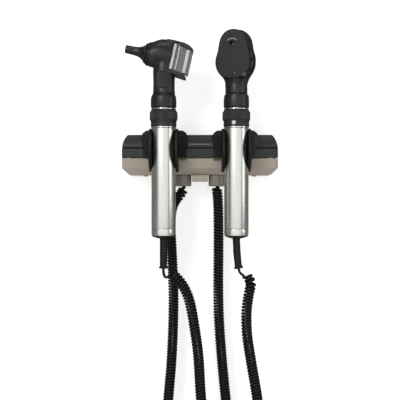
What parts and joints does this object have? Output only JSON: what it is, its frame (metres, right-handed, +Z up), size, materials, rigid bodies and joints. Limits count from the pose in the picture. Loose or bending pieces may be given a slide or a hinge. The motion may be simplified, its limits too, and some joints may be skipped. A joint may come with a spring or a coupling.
{
  "type": "wall-mounted otoscope set",
  "caption": "Wall diagnostic set: an otoscope and an ophthalmoscope on corded handles, held in the cradles of a mains wall unit.",
  "frame": {"origin": "centre of the wall unit's back face, on the wall", "axes": "+Y into the wall, -Y out of the wall towards the user, +X to the user's right, +Z up"},
  "size_m": [0.191, 0.0786, 0.5465],
  "materials": {
    "black_plastic": "satin moulded",
    "beige_plastic": "satin moulded",
    "grey_plastic": "semi-gloss",
    "anodised_tube": "satin anodised",
    "plated_ring": "polished",
    "maroon_plastic": "semi-gloss",
    "rubber": "semi-matt",
    "clear_acrylic": "polished",
    "indicator_window": "translucent",
    "label_plastic": "ribbed",
    "mirror_face": "polished",
    "lamp": "polished",
    "copper_winding": "enamelled wire",
    "circuit_board": "coated",
    "brass_contact": "turned",
    "bare_steel": "plain"
  },
  "bodies": {
    "wall_unit": {"back_plate": "bare_steel", "lower_tray": "beige_plastic", "upper_cover": "black_plastic", "left_cradle": "black_plastic", "right_cradle": "black_plastic", "left_gland": "grey_plastic", "right_gland": "grey_plastic", "inlet_block": "beige_plastic", "transformer_core": "bare_steel", "transformer_windings": "copper_winding", "circuit_board": "circuit_board", "left_indicator": "indicator_window", "right_indicator": "indicator_window", "left_cover_screw": "bare_steel", "right_cover_screw": "bare_steel", "left_curly_cord": "rubber", "left_cord_tail": "rubber", "right_curly_cord": "rubber", "right_cord_tail": "rubber"},
    "left_handle": {"left_handle_tube": "anodised_tube", "left_end_cap": "anodised_tube", "left_end_bezel": "maroon_plastic", "left_strain_relief": "rubber", "left_upper_ring": "plated_ring", "left_lower_ring": "plated_ring", "left_contact_carrier": "black_plastic", "left_contact_pin": "brass_contact", "left_contact_spring": "bare_steel"},
    "left_rheostat": {"left_rheostat_collar": "black_plastic"},
    "right_handle": {"right_handle_tube": "anodised_tube", "right_end_cap": "anodised_tube", "right_end_bezel": "maroon_plastic", "right_strain_relief": "rubber", "right_upper_ring": "plated_ring", "right_lower_ring": "plated_ring", "right_contact_carrier": "black_plastic", "right_contact_pin": "brass_contact", "right_contact_spring": "bare_steel"},
    "right_rheostat": {"right_rheostat_collar": "black_plastic"},
    "otoscope_head": {"oto_base": "black_plastic", "oto_head_shell": "black_plastic", "oto_label_panel": "label_plastic", "oto_lamp": "lamp", "oto_light_guide": "clear_acrylic", "oto_speculum_mount": "bare_steel"},
    "speculum": {"ear_speculum": "black_plastic"},
    "lens": {"viewing_lens": "clear_acrylic"},
    "ophthalmoscope_head": {"oph_base": "black_plastic", "oph_rear_shell": "black_plastic", "oph_front_shell": "black_plastic", "oph_readout_window": "indicator_window", "oph_eye_ring": "rubber", "dial_axle": "bare_steel", "oph_mirror": "mirror_face", "oph_condenser_lens": "clear_acrylic", "oph_lamp": "lamp"},
    "dial": {"lens_dial": "black_plastic"},
    "aperture_selector": {"aperture_wheel": "black_plastic"}
  },
  "joints": [
    {"name": "left_handle_lift", "type": "slide", "parent": "wall_unit", "child": "left_handle", "axis": [0, 0, 1], "range_m": [0, 0.135]},
    {"name": "left_rheostat_turn", "type": "hinge", "parent": "left_handle", "child": "left_rheostat", "pos_m": [-0.0434, -0.062, 0.041], "axis": [0, 0, 1], "range_deg": [0, 120]},
    {"name": "right_handle_lift", "type": "slide", "parent": "wall_unit", "child": "right_handle", "axis": [0, 0, 1], "range_m": [0, 0.135]},
    {"name": "right_rheostat_turn", "type": "hinge", "parent": "right_handle", "child": "right_rheostat", "pos_m": [0.0434, -0.062, 0.041], "axis": [0, 0, 1], "range_deg": [0, 120]},
    {"name": "otoscope_head_lift", "type": "slide", "parent": "left_handle", "child": "otoscope_head", "axis": [0, 0, 1], "range_m": [0, 0.02]},
    {"name": "speculum_pull", "type": "slide", "parent": "otoscope_head", "child": "speculum", "axis": [-0.9778, 0, 0.2096], "range_m": [0, 0.03]},
    {"name": "lens_slide", "type": "slide", "parent": "otoscope_head", "child": "lens", "axis": [0, -1, 0], "range_m": [0, 0.022]},
    {"name": "ophthalmoscope_head_lift", "type": "slide", "parent": "right_handle", "child": "ophthalmoscope_head", "axis": [0, 0, 1], "range_m": [0, 0.02]},
    {"name": "lens_dial_turn", "type": "hinge", "parent": "ophthalmoscope_head", "child": "dial", "pos_m": [0.04156, -0.06151, 0.1088], "axis": [-0.2588, -0.9659, 0], "continuous": true},
    {"name": "aperture_wheel_turn", "type": "hinge", "parent": "ophthalmoscope_head", "child": "aperture_selector", "pos_m": [0.0548, -0.06505, 0.0918], "axis": [-0.2588, -0.9659, 0], "continuous": true}
  ]
}
